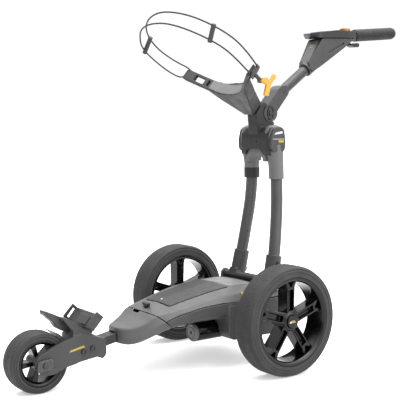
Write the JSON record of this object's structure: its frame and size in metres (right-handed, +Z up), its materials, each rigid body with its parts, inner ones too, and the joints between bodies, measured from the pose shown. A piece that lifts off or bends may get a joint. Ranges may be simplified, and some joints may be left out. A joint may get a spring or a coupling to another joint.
{
  "type": "electric golf trolley",
  "caption": "Three-wheeled electric golf trolley with a low moulded body, folding twin-tube frame, bag cradles and a folding handle with a control console.",
  "frame": {"origin": "on the ground, midway between the rear wheels and below the rear axle, at the middle of the whole length", "axes": "+Z up, -Y the direction of travel, +X the trolley's left"},
  "size_m": [0.562, 1.336, 0.9597],
  "materials": {
    "dark_plastic": "satin moulded",
    "grey_plastic": "satin moulded",
    "frame_metal": "satin gunmetal paint",
    "rubber": "matte",
    "gloss_black": "gloss",
    "black_metal": "gloss black paint",
    "steel": "brushed",
    "cast": "as cast",
    "yellow": "satin",
    "bronze": "satin",
    "anodised": "anodised gold-brown",
    "cord": "braided elastic",
    "screen": "gloss"
  },
  "bodies": {
    "chassis": {"chassis_tray": "dark_plastic", "upper_shell": "dark_plastic", "nose_cover": "dark_plastic", "front_bar": "frame_metal", "front_fork": "dark_plastic", "fork_bolt_front": "steel", "fork_bolt_rear": "steel", "lower_cradle": "dark_plastic", "cradle_toe": "dark_plastic", "front_mudguard": "dark_plastic", "tracking_adjuster": "dark_plastic", "front_axle_bolt": "steel", "battery_pack": "gloss_black", "controller_box": "cast", "motor_can": "black_metal", "motor_end_cap": "grey_plastic", "gearbox_left_half": "cast", "gearbox_right_half": "cast", "left_axle_tube": "cast", "right_axle_tube": "cast", "left_axle_bearing": "steel", "right_axle_bearing": "steel", "base_hinge_bracket": "dark_plastic", "base_hinge_pin": "steel"},
    "lid": {"battery_lid": "dark_plastic"},
    "latch": {"lid_latch": "gloss_black"},
    "axle": {"drive_axle": "steel", "worm_wheel": "bronze"},
    "rotor": {"motor_rotor": "steel"},
    "left_wheel": {"left_tyre": "rubber", "left_rim": "gloss_black"},
    "right_wheel": {"right_tyre": "rubber", "right_rim": "gloss_black"},
    "left_release": {"left_wheel_button": "gloss_black"},
    "right_release": {"right_wheel_button": "gloss_black"},
    "front_wheel": {"front_tyre": "rubber", "front_rim": "gloss_black"},
    "folding_frame": {"left_frame_tube": "frame_metal", "right_frame_tube": "frame_metal", "base_crossbar": "dark_plastic", "frame_yoke": "dark_plastic", "left_yoke_badge": "grey_plastic", "right_yoke_badge": "grey_plastic", "head_pivot_bolt": "steel", "upper_cradle": "dark_plastic", "strap_cord_upper": "cord", "strap_cord_lower": "cord", "left_strap_spacer": "cord", "right_strap_spacer": "cord", "strap_buckle": "dark_plastic"},
    "hook": {"strap_hook": "yellow"},
    "frame_lock": {"frame_lock_button": "gloss_black"},
    "handle": {"handle_clamp": "frame_metal", "handle_shaft": "frame_metal", "console_body": "dark_plastic", "display_panel": "gloss_black", "display_window": "screen", "hand_grip": "rubber"},
    "dial": {"speed_dial": "anodised"},
    "brake": {"brake_button": "gloss_black"}
  },
  "joints": [
    {"name": "left_wheel_spin", "type": "hinge", "parent": "chassis", "child": "left_wheel", "pos_m": [0.246, 0, 0.145], "axis": [1, 0, 0], "continuous": true},
    {"name": "right_wheel_spin", "type": "hinge", "parent": "chassis", "child": "right_wheel", "pos_m": [-0.246, 0, 0.145], "axis": [1, 0, 0], "continuous": true},
    {"name": "axle_spin", "type": "hinge", "parent": "chassis", "child": "axle", "pos_m": [0, 0, 0.145], "axis": [1, 0, 0], "continuous": true},
    {"name": "motor_spin", "type": "hinge", "parent": "chassis", "child": "rotor", "pos_m": [0.05, -0.1, 0.097], "axis": [0, 1, 0], "continuous": true},
    {"name": "front_wheel_spin", "type": "hinge", "parent": "chassis", "child": "front_wheel", "pos_m": [0, -0.592, 0.076], "axis": [1, 0, 0], "continuous": true},
    {"name": "lid_hinge", "type": "hinge", "parent": "chassis", "child": "lid", "pos_m": [0, -0.051, 0.2148], "axis": [-1, 0, 0], "range_deg": [0, 40]},
    {"name": "latch_turn", "type": "hinge", "parent": "chassis", "child": "latch", "pos_m": [0, -0.27, 0.1726], "axis": [0, -0.27, 0.9629], "range_deg": [0, 90]},
    {"name": "base_fold", "type": "hinge", "parent": "chassis", "child": "folding_frame", "pos_m": [0, 0.084, 0.215], "axis": [1, 0, 0], "range_deg": [0, 65]},
    {"name": "handle_fold", "type": "hinge", "parent": "folding_frame", "child": "handle", "pos_m": [0, 0.138, 0.685], "axis": [-1, 0, 0], "range_deg": [0, 70]},
    {"name": "dial_turn", "type": "hinge", "parent": "handle", "child": "dial", "pos_m": [0, 0.452, 0.94], "axis": [0, 0, 1], "range_deg": [0, 270]},
    {"name": "brake_press", "type": "slide", "parent": "handle", "child": "brake", "axis": [0, 0, 1], "range_m": [0, 0.0025], "stiffness_N_per_m": 300},
    {"name": "left_release_press", "type": "slide", "parent": "left_wheel", "child": "left_release", "axis": [-1, 0, 0], "range_m": [0, 0.003], "stiffness_N_per_m": 300},
    {"name": "right_release_press", "type": "slide", "parent": "right_wheel", "child": "right_release", "axis": [1, 0, 0], "range_m": [0, 0.003], "stiffness_N_per_m": 300},
    {"name": "frame_lock_press", "type": "slide", "parent": "folding_frame", "child": "frame_lock", "axis": [-1, 0, 0], "range_m": [0, 0.0026], "stiffness_N_per_m": 300},
    {"name": "hook_swing", "type": "hinge", "parent": "folding_frame", "child": "hook", "pos_m": [0.128, 0.01, 0.769], "axis": [1, 0, 0], "range_deg": [0, 60]}
  ],
  "couplings": [
    {"joint": "right_wheel_spin", "follows": "left_wheel_spin", "ratio": 1},
    {"joint": "axle_spin", "follows": "left_wheel_spin", "ratio": 1},
    {"joint": "motor_spin", "follows": "left_wheel_spin", "ratio": 24}
  ]
}
